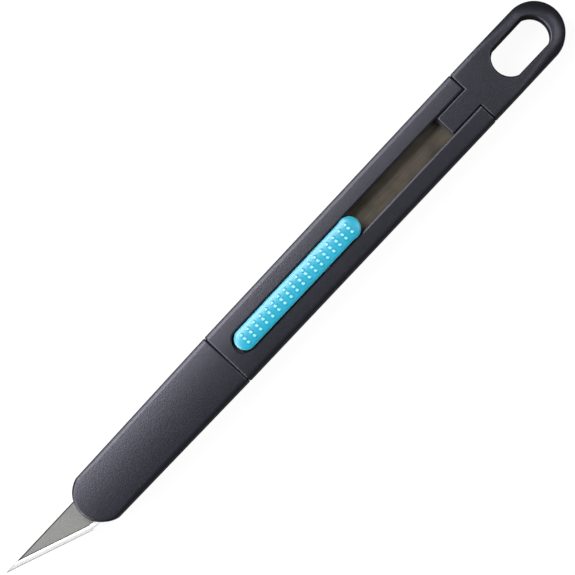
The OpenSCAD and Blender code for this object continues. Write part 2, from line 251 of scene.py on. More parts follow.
def drop_slivers(obj):
    """Merges the near-zero edges and faces that cuts leave behind."""
    sliver = 0.002
    bm = bmesh.new()
    bm.from_mesh(obj.data)
    bmesh.ops.remove_doubles(bm, verts=bm.verts, dist=sliver)
    bmesh.ops.dissolve_degenerate(bm, edges=bm.edges, dist=sliver)
    bm.to_mesh(obj.data)
    bm.free()


def finish_piece(obj, body, slot, materials, *nodes, smooth=SMOOTH_ANGLE):
    """Scales a finished millimetre mesh to metres and hands it to the frame."""
    drop_slivers(obj)
    obj.data.transform(Matrix.Scale(MM, 4))
    obj.data.shade_smooth()
    obj.data.set_sharp_from_angle(angle=smooth)
    normals = obj.modifiers.new("face_weighted_normals", "WEIGHTED_NORMAL")
    normals.keep_sharp = True
    obj.data.materials.clear()
    for material in materials:
        obj.data.materials.append(material)
    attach(obj, body)
    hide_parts(*nodes)
    return obj


# ---------------------------------------------------------------- handle sections

class Plan:
    """Outline of a casing part from above: two straight sides and, at one end, a round.

    crown is how much the front face falls from the middle to the sides.
    """

    def __init__(self, x0, w0, x1, w1, round_r=0.0, round_at_x0=True, crown=CROWN):
        self.x0 = x0
        self.w0 = w0
        self.x1 = x1
        self.w1 = w1
        self.crown = crown
        self.round_r = round_r
        self.centre = x0 + round_r if round_at_x0 else x1 - round_r
        self.side = 1 if round_at_x0 else -1

    def width(self, x):
        return lerp(self.w0, self.w1, (x - self.x0) / (self.x1 - self.x0))

    def into_round(self, x):
        """How far x is past the centre of the round end, 0 on the straight stretch."""
        return max(0.0, self.side * (self.centre - x)) if self.round_r else 0.0

    def reach(self, x):
        """Distance from the middle line to the outline."""
        past = self.into_round(x)
        return self.round_r - past if past > 0 else self.width(x) / 2

    def half(self, x, inset):
        """Half width at x of the outline moved in by inset."""
        straight = self.width(x) / 2 - inset
        past = self.into_round(x)
        if past == 0:
            return straight
        radius = self.round_r - inset
        arc = math.sqrt(max(0.0, radius * radius - past * past))
        return min(straight, arc)


def section(x, plan, z0, z1, edge, inset=0.0):
    """Closed ring of the handle at x: flat back, crowned front, faces that roll down to the sides by
    edge = (width, height) and small round corners.

    inset moves both faces in, and the sides by a share of it.
    """
    roll_steps = 6
    crown_cells = 12
    back_cells = 6
    reach = plan.reach(x)
    side_inset = inset * END_SIDE_SHARE
    width, height = edge
    corner = CORNER_R * min(1.0, reach / width)
    side = []
    for depth, drop in quarter(corner, FILLET_STEPS):
        side.append((plan.half(x, depth + side_inset), drop + rolled(depth, width, height)))
    for i in range(1, roll_steps + 1):
        depth = min(reach, lerp(corner, width, i / roll_steps))
        side.append((plan.half(x, depth + side_inset), rolled(depth, width, height)))

    def face_z(y):
        return z1 - inset - plan.crown * (2 * y / plan.width(x)) ** 2

    right_back = [(y, z0 + inset + drop) for y, drop in reversed(side)]
    right_front = [(y, face_z(y) - drop) for y, drop in side]
    inner = side[-1][0]
    last_drop = side[-1][1]
    front = [
        (y, face_z(y) - last_drop)
        for y in (inner * (1 - 2 * i / crown_cells) for i in range(1, crown_cells))
    ]
    left_front = [(-y, z) for y, z in reversed(right_front)]
    left_back = [(-y, z) for y, z in reversed(right_back)]
    back = [
        (inner * (2 * i / back_cells - 1), z0 + inset + last_drop)
        for i in range(1, back_cells)
    ]
    return [(x, y, z) for y, z in right_back + right_front + front + left_front + left_back + back]


def end_rings(x, towards, plan, z0, z1, edge):
    """Rings of the small fillet round a flat end at x; towards is the way into the part.

    The last one keeps the bend of the fillet out of the shading of the flat behind it.
    """
    rings = []
    for depth, drop in [*quarter(END_R, FILLET_STEPS), (END_R + END_HOLD, 0)]:
        rings.append(section(x + towards * depth, plan, z0(x), z1(x), edge(x), drop))
    return rings


def steady(value):
    """A function of x that is the same everywhere."""
    return lambda x: value


def straight_stations(x0, x1, pitch=STATION_PITCH):
    """Evenly spaced stations from x0 to x1, about pitch apart."""
    count = max(1, round((x1 - x0) / pitch))
    return [lerp(x0, x1, i / count) for i in range(count + 1)]


def round_stations(centre, radius, side, steps=26):
    """Stations from the tip of a round end to its centre, close together at the tip."""
    return [centre - side * radius * math.cos(math.pi / 2 * i / steps) for i in range(steps + 1)]


def ribs(name, x0, x1, floor_z):
    """Two lengthwise ribs under the channel, sunk a little into the floor."""
    for side in (-1, 1):
        yield block(
            f"{name}_{side}",
            (x0, side * RIB_Y - RIB_W / 2, floor_z - RIB_SINK),
            (x1, side * RIB_Y + RIB_W / 2, channel_lo.z),
        )


# ---------------------------------------------------------------- casing parts

def nose_outside():
    """Outer skin of the nose, rounded in front, which sinks towards the tip."""
    plan = Plan(nose_lo.x, NOSE_FRONT_W, nose_hi.x, NOSE_REAR_W, NOSE_TIP_R)
    front_edge_end = nose_lo.x + 2
    full_edge_start = plan.centre + 5

    def share(x):
        return (x - nose_lo.x) / (nose_hi.x - nose_lo.x)

    def z0(x):
        return lerp(NOSE_TIP_Z0, 0, share(x))

    def z1(x):
        return HANDLE_TOP - NOSE_DIP * (1 - share(x)) ** 2

    def edge(x):
        return blend(NOSE_FRONT_EDGE, EDGE, smoothstep(front_edge_end, full_edge_start, x))

    rings = [
        section(x, plan, z0(x), z1(x), edge(x))
        for x in round_stations(plan.centre, NOSE_TIP_R, 1)
        + straight_stations(plan.centre, nose_hi.x - END_R)[1:-1]
    ]
    rings += list(reversed(end_rings(nose_hi.x, -1, plan, z0, z1, edge)))
    nose = new_object("nose_shell", skin(rings, close_ends=False))
    close_holes(nose)
    return nose


def build_nose():
    """Nose sleeve: a pocket for the channel, the slit for the blade and a seat for the tip spring."""
    nose = nose_outside()
    inner_x0 = nose_lo.x + NOSE_SOLID_LEN
    pocket_z0 = NOSE_TIP_Z0 + WALL
    pocket = block("pocket", (inner_x0, -CAVITY_HALF_W, pocket_z0),
                   (nose_hi.x + PAST, CAVITY_HALF_W, CAVITY_TOP))
    boolean(nose, pocket, "DIFFERENCE")

    exit_slot = block(
        "exit_slot",
        (nose_lo.x - PAST, blade_lo.y - BLADE_GAP_SIDE, blade_lo.z - BLADE_GAP_BELOW),
        (inner_x0 + NOSE_OVERLAP, blade_hi.y + BLADE_GAP_SIDE, blade_hi.z + BLADE_GAP_ABOVE),
    )
    boolean(nose, exit_slot, "DIFFERENCE")

    spring_lo, spring_hi = box_mm("tip_spring")
    seat_gap = 0.05
    seat_side_gap = 0.1
    seat = block(
        "seat",
        (spring_lo.x - seat_gap, spring_lo.y - seat_side_gap, spring_lo.z + seat_gap),
        (inner_x0 + NOSE_OVERLAP, spring_hi.y + seat_side_gap, spring_hi.z + seat_gap),
    )
    boolean(nose, seat, "DIFFERENCE")

    recess = opening("recess", body_lo.x - SEAM_GAP, nose_hi.x + PAST,
                     SPIGOT_SIDE_T + SPIGOT_GAP, SPIGOT_T + SPIGOT_GAP)
    boolean(nose, recess, "DIFFERENCE")
    for rib in ribs("nose_rib", inner_x0 - NOSE_OVERLAP, body_lo.x - RIB_SPIGOT_GAP, pocket_z0):
        boolean(nose, rib, "UNION")
    return finish_piece(nose, "nose", "black_plastic", [black_plastic], "nose_sleeve")


def close_holes(obj):
    """Fills the open end rings of a lofted mesh."""
    bm = bmesh.new()
    bm.from_mesh(obj.data)
    bmesh.ops.dissolve_degenerate(bm, edges=bm.edges, dist=1e-4)
    boundary = [e for e in bm.edges if e.is_boundary]
    if boundary:
        bmesh.ops.holes_fill(bm, edges=boundary)
    bmesh.ops.recalc_face_normals(bm, faces=bm.faces)
    bm.to_mesh(obj.data)
    bm.free()


def opening(name, x0, x1, side=0.0, grow=0.0):
    """Block the shape of the opening for the channel; side moves its side walls out, grow the others."""
    return block(name, (x0, -CAVITY_HALF_W - side, WALL - grow),
                 (x1, CAVITY_HALF_W + side, CAVITY_TOP + grow))


def build_body():
    """Body shell: a straight tube with the slot in its face and a spigot that enters the nose."""
    plan = Plan(BODY_X0, BODY_FRONT_W, body_hi.x, BODY_REAR_W)
    ends = (steady(0.0), steady(HANDLE_TOP), steady(EDGE))
    rings = end_rings(BODY_X0, 1, plan, *ends)
    rings += [
        section(x, plan, 0.0, HANDLE_TOP, EDGE)
        for x in straight_stations(BODY_X0 + END_R, body_hi.x - END_R)[1:-1]
    ]
    rings += list(reversed(end_rings(body_hi.x, -1, plan, *ends)))
    body = new_object("body_casing", skin(rings))

    spigot = opening("spigot", body_lo.x, BODY_X0 + PAST, SPIGOT_SIDE_T, SPIGOT_T)
    boolean(body, spigot, "UNION")
    boolean(body, opening("cavity", nose_lo.x, body_hi.x + PAST), "DIFFERENCE")
    boolean(body, slot_cutter(), "DIFFERENCE")
    for rib in ribs("body_rib", BODY_X0 + RIB_END_GAP, cap_lo.x - RIB_END_GAP, WALL):
        boolean(body, rib, "UNION")
    return finish_piece(body, "body", "black_plastic", [black_plastic], "body_shell")


def slot_cutter():
    """Cutter of the button slot; it flares at the face, which leaves a chamfered lip."""
    x1 = body_hi.x + SLOT_RUN_OUT
    face_z = HANDLE_TOP - CROWN * (SLOT_HALF_W / body_hi.y) ** 2

    def outline(grow, z):
        r = SLOT_HALF_W + grow
        cx = SLOT_X0 + SLOT_HALF_W
        arc = (math.pi / 2 + math.pi * i / ARC_STEPS for i in range(ARC_STEPS + 1))
        return [(cx + r * math.cos(t), r * math.sin(t), z) for t in arc] + [(x1, -r, z), (x1, r, z)]

    levels = [
        (0, CAVITY_TOP - SLOT_SINK),
        (0, face_z - SLOT_LIP_H),
        (SLOT_LIP_W, face_z),
        (SLOT_LIP_W, face_z + PAST),
    ]
    return prism("slot", outline, levels)


def cap_back_z(x):
    """Height of the cap's back face, which rises towards the far end of the loop."""
    return LOOP_DROP * max(0.0, (x - CAP_X0 - CAP_FLAT_LEN) / (cap_hi.x - CAP_X0 - CAP_FLAT_LEN))


def cap_front_z(x):
    """Height of the cap's front face, which falls as much as the back rises."""
    return HANDLE_TOP - cap_back_z(x)


def hole_points():
    """(x, y, outward x, outward y) round the oblong hole, two arcs that meet its straight sides."""
    span = math.asin(HOLE_HALF_W / HOLE_END_R)
    for centre, start in ((HOLE_X1 - HOLE_END_R, -span), (HOLE_X0 + HOLE_END_R, math.pi - span)):
        for i in range(ARC_STEPS + 1):
            turn = start + 2 * span * i / ARC_STEPS
            out_x = math.cos(turn)
            out_y = math.sin(turn)
            yield centre + HOLE_END_R * out_x, HOLE_END_R * out_y, out_x, out_y


def hole_cutter():
    """Cutter of the hanging hole; it flares to both faces, most at the far end of the loop."""
    steps = 8

    def ring(turn, face_z, into):
        points = []
        for x, y, out_x, out_y in hole_points():
            r = lerp(*HOLE_LIP_R, smoothstep(HOLE_X0 + HOLE_LIP_EASE, HOLE_X1 - HOLE_LIP_EASE, x))
            grow = r * (1 - math.sin(turn))
            far_x = x + grow * out_x
            depth = r * (1 - math.cos(turn))
            points.append((far_x, y + grow * out_y, face_z(far_x) + into * depth))
        return points

    turns = [math.pi / 2 * i / steps for i in range(steps + 1)]
    rings = [above(ring(0, cap_front_z, -1), PAST)]
    rings += [ring(turn, cap_front_z, -1) for turn in turns]
    rings += [ring(turn, cap_back_z, 1) for turn in reversed(turns)]
    rings += [above(ring(0, cap_back_z, 1), -PAST)]
    return new_object("hanging_hole", skin(rings))


def above(ring, height):
    """The ring moved up by height."""
    return [(x, y, z + height) for x, y, z in ring]


def build_cap():
    """End cap: the loop with its hole, a plug that enters the body and a tongue that closes the slot."""
    plan = Plan(CAP_X0, CAP_W, cap_hi.x, CAP_W, CAP_W / 2, round_at_x0=False, crown=CAP_CROWN)

    def edge(x):
        return blend(CAP_EDGE, LOOP_EDGE, smoothstep(HOLE_X0, HOLE_X1, x))

    rings = end_rings(CAP_X0, 1, plan, cap_back_z, cap_front_z, edge)
    stations = straight_stations(CAP_X0 + END_R, plan.centre, CAP_STATION_PITCH)[1:-1]
    stations += list(reversed(round_stations(plan.centre, CAP_W / 2, -1)))
    rings += [section(x, plan, cap_back_z(x), cap_front_z(x), edge(x)) for x in stations]
    cap = new_object("end_cap_shell", skin(rings, close_ends=False))
    close_holes(cap)
    boolean(cap, hole_cutter(), "DIFFERENCE")

    plug = block("plug", (cap_lo.x, PLUG_GAP - CAVITY_HALF_W, WALL + PLUG_GAP),
                 (CAP_X0 + PAST, CAVITY_HALF_W - PLUG_GAP, CAVITY_TOP - PLUG_GAP))
    bevel(plug, PLUG_BEVEL)
    bake(plug)
    boolean(cap, plug, "UNION")
    boolean(cap, tongue(), "UNION")
    seat_lo, seat_hi = box_mm("rear_bumper")
    seat = block("bumper_seat", (cap_lo.x - PAST, seat_lo.y, seat_lo.z), seat_hi)
    boolean(cap, seat, "DIFFERENCE")
    return finish_piece(cap, "cap", "black_plastic", [black_plastic], "end_cap")


def tongue():
    """Slab that closes the rear of the slot; its top carries on the cap's front face."""
    width = 2 * TONGUE_HALF_W
    root_x = CAP_X0 + PAST
    top_z = HANDLE_TOP - TONGUE_FLUSH
    foot_z = CAVITY_TOP - TONGUE_SINK
    plan = Plan(cap_lo.x, width, root_x, width, crown=CAP_CROWN * (width / CAP_W) ** 2)
    rings = end_rings(cap_lo.x, 1, plan, steady(foot_z), steady(top_z), steady(TONGUE_EDGE))
    rings.append(section(root_x, plan, foot_z, top_z, TONGUE_EDGE))
    return new_object("tongue", skin(rings))


# ---------------------------------------------------------------- button

BUMP_COLUMNS = 18
# Rows of bumps on each side of the middle row
BUMP_SIDE_ROWS = 1
BUMP_MARGIN = 2.04
BUMP_X0 = button_lo.x + BUMP_MARGIN
BUMP_PITCH_X = 1.6
BUMP_PITCH_Y = 0.9
BUMP_R = 0.42
BUMP_H = 0.12
BUMP_STEEPNESS = 1.2
GROOVE_INNER = 0.3
GROOVE_OUTER = 1.6
BUTTON_DOME = 0.26
BUTTON_EDGE_W = 0.5
BUTTON_EDGE_DROP = 0.12
BUTTON_END_W = 1.8
BUTTON_END_DROP = 0.25
BUTTON_HALF_W = 2.025
FLARE = 0.13
FLARE_LEN = 3.0
BUTTON_REAR_R = BUTTON_HALF_W + FLARE
BUTTON_FRONT_CENTRE = button_lo.x + BUTTON_HALF_W
BUTTON_REAR_CENTRE = button_hi.x - BUTTON_REAR_R
BUTTON_PITCH = 0.08
BUTTON_ROUND_STEPS = 22
BUTTON_CELLS_ACROSS = 58


def round_half(radius, past):
    """Half width of a round end at a distance past its centre."""
    return math.sqrt(max(0.0, radius ** 2 - past ** 2))


def button_half(x):
    """Half width of the button at x: round ends, a little wider at the rear."""
    if x < BUTTON_FRONT_CENTRE:
        return round_half(BUTTON_HALF_W, BUTTON_FRONT_CENTRE - x)
    if x > BUTTON_REAR_CENTRE:
        return round_half(BUTTON_REAR_R, x - BUTTON_REAR_CENTRE)
    return BUTTON_HALF_W + FLARE * smoothstep(button_hi.x - FLARE_LEN, BUTTON_REAR_CENTRE, x)


def edge_distance(x, y):
    """Distance from a point on the button to its outline."""
    if x < BUTTON_FRONT_CENTRE:
        return BUTTON_HALF_W - math.hypot(BUTTON_FRONT_CENTRE - x, y)
    if x > BUTTON_REAR_CENTRE:
        return BUTTON_REAR_R - math.hypot(x - BUTTON_REAR_CENTRE, y)
    return button_half(x) - abs(y)


def from_bump(x, y):
    """Distance from a point to the middle of the nearest bump."""
    column = min(BUMP_COLUMNS - 1, max(0, round((x - BUMP_X0) / BUMP_PITCH_X)))
    row = min(BUMP_SIDE_ROWS, max(-BUMP_SIDE_ROWS, round(y / BUMP_PITCH_Y)))
    return math.hypot(x - BUMP_X0 - column * BUMP_PITCH_X, y - row * BUMP_PITCH_Y)


def bump_height(x, y):
    """Height of the grip bumps at a point: rounded studs on a grid."""
    away = from_bump(x, y)
    if away >= BUMP_R:
        return 0.0
    return BUMP_H * math.cos(math.pi / 2 * away / BUMP_R) ** BUMP_STEEPNESS


def painted_bump_light(x, y):
    """Painted light on the grip bumps: 1 for a painted highlight on top of a bump, down to -1 for
    painted shade in the groove round its foot, and 0 away from it.
    """
    away = from_bump(x, y) / BUMP_R
    if away < 1:
        return 1 - 2 * smoothstep(GROOVE_INNER, 1.0, away)
    return -1 + smoothstep(1.0, GROOVE_OUTER, away)


def button_top(x, y):
    """Height of the button's face: a dome across, rolled edges and ends, and the bumps."""
    drop = BUTTON_DOME * (y / BUTTON_HALF_W) ** 2
    drop += rolled(edge_distance(x, y), BUTTON_EDGE_W, BUTTON_EDGE_DROP)
    drop += rolled(min(x - button_lo.x, button_hi.x - x), BUTTON_END_W, BUTTON_END_DROP)
    return button_hi.z - BUMP_H - drop + bump_height(x, y)


def build_button():
    """Thumb slider: a fine mesh whose face carries the grip bumps, with their painted shade and
    highlight as an attribute.
    """
    xs = round_stations(BUTTON_FRONT_CENTRE, BUTTON_HALF_W, 1, BUTTON_ROUND_STEPS)[:-1]
    xs += straight_stations(BUTTON_FRONT_CENTRE, BUTTON_REAR_CENTRE, BUTTON_PITCH)
    xs += list(reversed(round_stations(BUTTON_REAR_CENTRE, BUTTON_REAR_R, -1, BUTTON_ROUND_STEPS)))[1:]
    turns = [math.pi / 2 * (2 * i / BUTTON_CELLS_ACROSS - 1) for i in range(BUTTON_CELLS_ACROSS + 1)]

    rings = []
    for x in xs:
        half = button_half(x)
        top = [(x, y, button_top(x, y)) for y in (half * math.sin(turn) for turn in turns)]
        bottom = [(x, half, button_lo.z), (x, -half, button_lo.z)]
        rings.append(top + bottom)
    button = new_object("thumb_slider", skin(rings, close_ends=False))
    close_holes(button)
    # The grip attribute holds painted light: a highlight on the bump tops, shade in the grooves round
    # them
    grip = button.data.attributes.new("grip", "FLOAT", "POINT")
    for vertex, value in zip(button.data.vertices, grip.data):
        value.value = painted_bump_light(vertex.co.x, vertex.co.y)
    return finish_piece(button, "button", "blue_plastic", [blue_plastic], "slide_button")


# ---------------------------------------------------------------- blade

BLADE_ANGLE = math.radians(20.6)
BEVEL_W = 1.0
BEVEL_REAR_LEN = 3.0
SPINE_CUT = 0.06
SPINE_TIP_LEN = 0.3
STUD_HOLE_R = 0.85
BLADE_SMOOTH_ANGLE = math.radians(8)
BEVEL_NORMAL_Z = (0.9, 0.99)


def blade_mesh():
    """bmesh of the blade: two flats, a bevel on both sides of the cutting edge and a broken spine."""
    mid_z = (blade_lo.z + blade_hi.z) / 2
    spine_y = blade_hi.y
    low_y = blade_lo.y
    heel_x = blade_lo.x + (spine_y - low_y) / math.tan(BLADE_ANGLE)
    bevel_x1 = nose_lo.x + BEVEL_REAR_LEN
    tip_x = blade_lo.x + BEVEL_W / math.sin(BLADE_ANGLE)
    flat_y = low_y + BEVEL_W
    flat_heel_x = tip_x + (spine_y - flat_y) / math.tan(BLADE_ANGLE)

    bm = bmesh.new()
    edge_tip = bm.verts.new((blade_lo.x, spine_y - SPINE_CUT, mid_z))
    edge_heel = bm.verts.new((heel_x, low_y, mid_z))
    edge_end = bm.verts.new((bevel_x1, low_y, mid_z))
    sides = []
    for flat_z, is_upper in ((blade_hi.z, True), (blade_lo.z, False)):
        tip = bm.verts.new((tip_x, spine_y - SPINE_CUT, flat_z))
        heel = bm.verts.new((flat_heel_x, flat_y, flat_z))
        end = bm.verts.new((bevel_x1, flat_y, flat_z))
        step = bm.verts.new((bevel_x1, low_y, flat_z))
        rear_low = bm.verts.new((blade_hi.x, low_y, flat_z))
        rear_top = bm.verts.new((blade_hi.x, spine_y - SPINE_CUT, flat_z))
        faces = [
            (tip, heel, end, step, rear_low, rear_top),
            (edge_tip, edge_heel, heel, tip),
            (edge_heel, edge_end, end, heel),
            (edge_end, step, end),
        ]
        for ring in faces:
            bm.faces.new(ring if is_upper else tuple(reversed(ring)))
        sides.append((tip, rear_top, rear_low, step))
    upper, lower = sides
    spine_tip = bm.verts.new((blade_lo.x + SPINE_TIP_LEN, spine_y, mid_z))
    spine_rear_up = bm.verts.new((blade_hi.x, spine_y, blade_hi.z - SPINE_CUT))
    spine_rear_low = bm.verts.new((blade_hi.x, spine_y, blade_lo.z + SPINE_CUT))
    spine_tip_up = bm.verts.new((tip_x, spine_y, blade_hi.z - SPINE_CUT))
    spine_tip_low = bm.verts.new((tip_x, spine_y, blade_lo.z + SPINE_CUT))
    bm.faces.new((upper[0], upper[1], spine_rear_up, spine_tip_up))
    bm.faces.new((lower[1], lower[0], spine_tip_low, spine_rear_low))
    bm.faces.new((spine_tip_up, spine_rear_up, spine_rear_low, spine_tip_low))
    bm.faces.new((edge_tip, upper[0], spine_tip_up, spine_tip))
    bm.faces.new((lower[0], edge_tip, spine_tip, spine_tip_low))
    bm.faces.new((spine_tip, spine_tip_up, spine_tip_low))
    bm.faces.new((upper[1], upper[2], lower[2], lower[1], spine_rear_low, spine_rear_up))
    bm.faces.new((upper[2], upper[3], edge_end, lower[3], lower[2]))
    return bm


def build_blade():
    """Slanted blade with a hole for its stud; its bevels are painted brighter than its flats, a painted
    reflection of the lamps.
    """
    blade = new_object("blade_ground", blade_mesh())
    stud_lo, stud_hi = box_mm("blade_stud")
    hole = rod("hole", (stud_lo.x + stud_hi.x) / 2, (stud_lo.y + stud_hi.y) / 2, STUD_HOLE_R,
               blade_lo.z - PAST, blade_hi.z + PAST)
    boolean(blade, hole, "DIFFERENCE")
    finish_piece(blade, "carriage", "blade_steel", [blade_flat, blade_bevel_painted_reflection], "blade",
                 smooth=BLADE_SMOOTH_ANGLE)
    least, most = BEVEL_NORMAL_Z
    for face in blade.data.polygons:
        face.material_index = 1 if least < abs(face.normal.z) < most else 0


# ---------------------------------------------------------------- materials

# Stretches of a noise pattern's values that are spread over a whole range of looks
NOISE_RANGE = (0.3, 0.7)
BLOTCH_RANGE = (0.35, 0.65)


class Nodes:
    """Small helper to build a material's node tree."""

    def __init__(self, name):
        self.material = bpy.data.materials.new(name)
        self.material.use_nodes = True
        self.tree = self.material.node_tree
        self.shader = self.tree.nodes["Principled BSDF"]
        self.coords = self.add("ShaderNodeTexCoord").outputs["Object"]

    def add(self, kind, **values):
        node = self.tree.nodes.new(kind)
        for key, value in values.items():
            if hasattr(node, key):
                setattr(node, key, value)
            else:
                node.inputs[key.replace("_", " ")].default_value = value
        return node

    def link(self, a, b):
        self.tree.links.new(a, b)

    def feed(self, socket, value):
        """Gives a socket either a link or a plain value."""
        if hasattr(value, "links"):
            self.link(value, socket)
        else:
            socket.default_value = value

    def stretched(self, scale):
        """Object coordinates scaled along each axis."""
        mapping = self.add("ShaderNodeMapping")
        mapping.inputs["Scale"].default_value = scale
        self.link(self.coords, mapping.inputs["Vector"])
        return mapping.outputs["Vector"]

    def noise(self, vector, scale, detail=4.0, rough=0.55):
        noise = self.add("ShaderNodeTexNoise")
        noise.inputs["Scale"].default_value = scale
        noise.inputs["Detail"].default_value = detail
        noise.inputs["Roughness"].default_value = rough
        self.link(vector, noise.inputs["Vector"])
        return noise.outputs["Fac"]

    def ramp(self, value, low, high, out_low=0.0, out_high=1.0):
        """value remapped from low..high to out_low..out_high."""
        node = self.add("ShaderNodeMapRange")
        node.inputs["From Min"].default_value = low
        node.inputs["From Max"].default_value = high
        node.inputs["To Min"].default_value = out_low
        node.inputs["To Max"].default_value = out_high
        self.link(value, node.inputs["Value"])
        return node.outputs["Result"]

    def mix(self, share, a, b):
        """Colour a turned into colour b by share. A colour is three numbers or a socket."""
        node = self.add("ShaderNodeMix", data_type="RGBA")
        self.link(share, node.inputs["Factor"])
        for index, colour in ((6, a), (7, b)):
            self.feed(node.inputs[index], colour if hasattr(colour, "links") else (*colour, 1))
        return node.outputs[2]

    def bump(self, height, distance):
        node = self.add("ShaderNodeBump")
        node.inputs["Distance"].default_value = distance
        node.inputs["Strength"].default_value = 1.0
        self.link(height, node.inputs["Height"])
        return node.outputs["Normal"]

    def edge_wear_and_highlight(self, radius):
        """1 on exposed edges, 0 on flat stretches; these edges are painted lighter, partly as wear and
        partly as painted highlight.
        """
        rounded = self.add("ShaderNodeBevel", samples=4)
        rounded.inputs["Radius"].default_value = radius
        geometry = self.add("ShaderNodeNewGeometry")
        dot = self.add("ShaderNodeVectorMath", operation="DOT_PRODUCT")
        self.link(rounded.outputs["Normal"], dot.inputs[0])
        self.link(geometry.outputs["Normal"], dot.inputs[1])
        flat = 0.99
        worn_and_lit_edge = 0.86
        return self.ramp(dot.outputs["Value"], flat, worn_and_lit_edge)

    def set(self, name, value):
        """Gives an input of the shader a link or a plain value."""
        self.feed(self.shader.inputs[name], value)


def moulded_plastic(name, dark, light, worn_and_lit_edge, roughness, grain_mm, grain_depth, sheen=(1, 1, 1),
                    shine=0.5, grip=None):
    """Moulded plastic: fine spark grain, soft blotches, edges painted lighter, partly as wear and partly
    as painted highlight.

    grip is the colours of the painted shade in the groove round a grip bump and of the painted highlight
    on its top, which the mesh marks with its grip attribute.
    """
    blotch_scale = 160.0
    edge_band_radius = 0.00018
    rough_swing = 0.05
    n = Nodes(name)
    grain = n.noise(n.coords, 1 / (grain_mm * MM), 2.0)
    blotch = n.noise(n.coords, blotch_scale, 3.0)
    # Lighter edges: partly wear, partly painted highlight; on the cyan button they are a painted rim
    # highlight
    wear_and_highlight = n.edge_wear_and_highlight(edge_band_radius)
    base = n.mix(n.ramp(blotch, *BLOTCH_RANGE), dark, light)
    colour = n.mix(wear_and_highlight, base, worn_and_lit_edge)
    if grip:
        # Painted shade in the grooves round the bumps and a painted highlight on their tops
        groove, top = grip
        bump_light = n.add("ShaderNodeAttribute", attribute_name="grip").outputs["Fac"]
        colour = n.mix(n.ramp(bump_light, 0.0, -1.0), colour, groove)
        colour = n.mix(n.ramp(bump_light, 0.0, 1.0), colour, top)
    n.set("Base Color", colour)
    n.set("Specular Tint", (*sheen, 1))
    n.set("Specular IOR Level", shine)
    n.set("Roughness", n.ramp(grain, *NOISE_RANGE, roughness - rough_swing, roughness + rough_swing))
    n.set("Normal", n.bump(grain, grain_depth * MM))
    return n.material


def brushed_metal(name, dark, light, roughness, along, pitch_mm, depth_mm):
    """Metal with fine lines that run along an axis and a shine that varies a little."""
    line_stretch = 60
    rough_swing = 0.07
    cloud_scale = 260.0
    n = Nodes(name)
    across = 1 / (pitch_mm * MM)
    scale = [across] * 3
    scale["xyz".index(along)] = across / line_stretch
    lines = n.noise(n.stretched(scale), 1.0, 3.0, 0.7)
    cloud = n.noise(n.coords, cloud_scale, 3.0)
    n.set("Metallic", 1.0)
    n.set("Base Color", n.mix(n.ramp(lines, *NOISE_RANGE), dark, light))
    n.set("Roughness", n.ramp(cloud, *NOISE_RANGE, roughness - rough_swing, roughness + rough_swing))
    n.set("Normal", n.bump(lines, depth_mm * MM))
    return n.material


def blade_steel(name, dark, light, metallic, strips):
    """Ground blade steel with fine grinding lines and strips of another grey.

    A strip is (grey, direction, from, to): it lies where a point's millimetres along the direction are
    between the two.
    """
    grind_scale = (11000, 2500, 2500)
    soft = 0.04
    roughness = 0.5
    grain_depth = 0.001
    n = Nodes(name)
    grain = n.noise(n.stretched(grind_scale), 1.0, 3.0, 0.7)
    colour = n.mix(n.ramp(grain, *NOISE_RANGE), dark, light)
    for grey, direction, start, end in strips:
        along = n.add("ShaderNodeVectorMath", operation="DOT_PRODUCT")
        n.link(n.coords, along.inputs[0])
        along.inputs[1].default_value = direction
        after = n.ramp(along.outputs["Value"], (start - soft) * MM, start * MM)
        before = n.ramp(along.outputs["Value"], end * MM, (end + soft) * MM, 1.0, 0.0)
        both = n.add("ShaderNodeMath", operation="MULTIPLY")
        n.link(after, both.inputs[0])
        n.link(before, both.inputs[1])
        colour = n.mix(both.outputs[0], colour, (grey, grey, grey))
    n.set("Base Color", colour)
    n.set("Metallic", metallic)
    n.set("Roughness", roughness)
    n.set("Normal", n.bump(grain, grain_depth * MM))
    return n.material


black_plastic = moulded_plastic(
    "black_matte_plastic",
    dark=(0.0038, 0.0038, 0.0062),
    light=(0.005, 0.005, 0.008),
    worn_and_lit_edge=(0.014, 0.014, 0.018),
    roughness=0.35,
    grain_mm=0.22,
    grain_depth=0.025,
    sheen=(0.85, 0.84, 1.0),
)
dark_plastic = moulded_plastic(
    "black_acetal",
    dark=(0.010, 0.010, 0.011),
    light=(0.014, 0.014, 0.015),
    worn_and_lit_edge=(0.03, 0.03, 0.032),
    roughness=0.38,
    grain_mm=0.2,
    grain_depth=0.003,
)
blue_plastic = moulded_plastic(
    "cyan_plastic",
    dark=(0.009, 0.235, 0.34),
    light=(0.013, 0.27, 0.39),
    # This edge colour is a painted highlight on the button's rim
    worn_and_lit_edge=(0.22, 0.62, 0.69),
    roughness=0.30,
    grain_mm=0.12,
    grain_depth=0.003,
    shine=0.6,
    # Grip colours: painted shade for the grooves round the bumps, painted highlight for their tops
    grip=((0.009, 0.20, 0.30), (0.17, 0.58, 0.66)),
)
rubber = moulded_plastic(
    "black_rubber",
    dark=(0.012, 0.012, 0.012),
    light=(0.018, 0.018, 0.018),
    worn_and_lit_edge=(0.03, 0.03, 0.03),
    roughness=0.75,
    grain_mm=0.15,
    grain_depth=0.01,
)
# Greys far darker than bare steel: painted shade for the deep slot that the channel is seen through
channel_metal_painted_shade = brushed_metal(
    "brushed_channel_steel",
    dark=(0.055, 0.047, 0.038),
    light=(0.105, 0.092, 0.076),
    roughness=0.40,
    along="x",
    pitch_mm=0.10,
    depth_mm=0.0035,
)
spring_metal = brushed_metal(
    "spring_strip_steel",
    dark=(0.40, 0.41, 0.43),
    light=(0.55, 0.56, 0.58),
    roughness=0.30,
    along="x",
    pitch_mm=0.08,
    depth_mm=0.001,
)
rivet_metal = brushed_metal(
    "turned_rivet_steel",
    dark=(0.50, 0.50, 0.49),
    light=(0.66, 0.66, 0.64),
    roughness=0.28,
    along="y",
    pitch_mm=0.09,
    depth_mm=0.001,
)

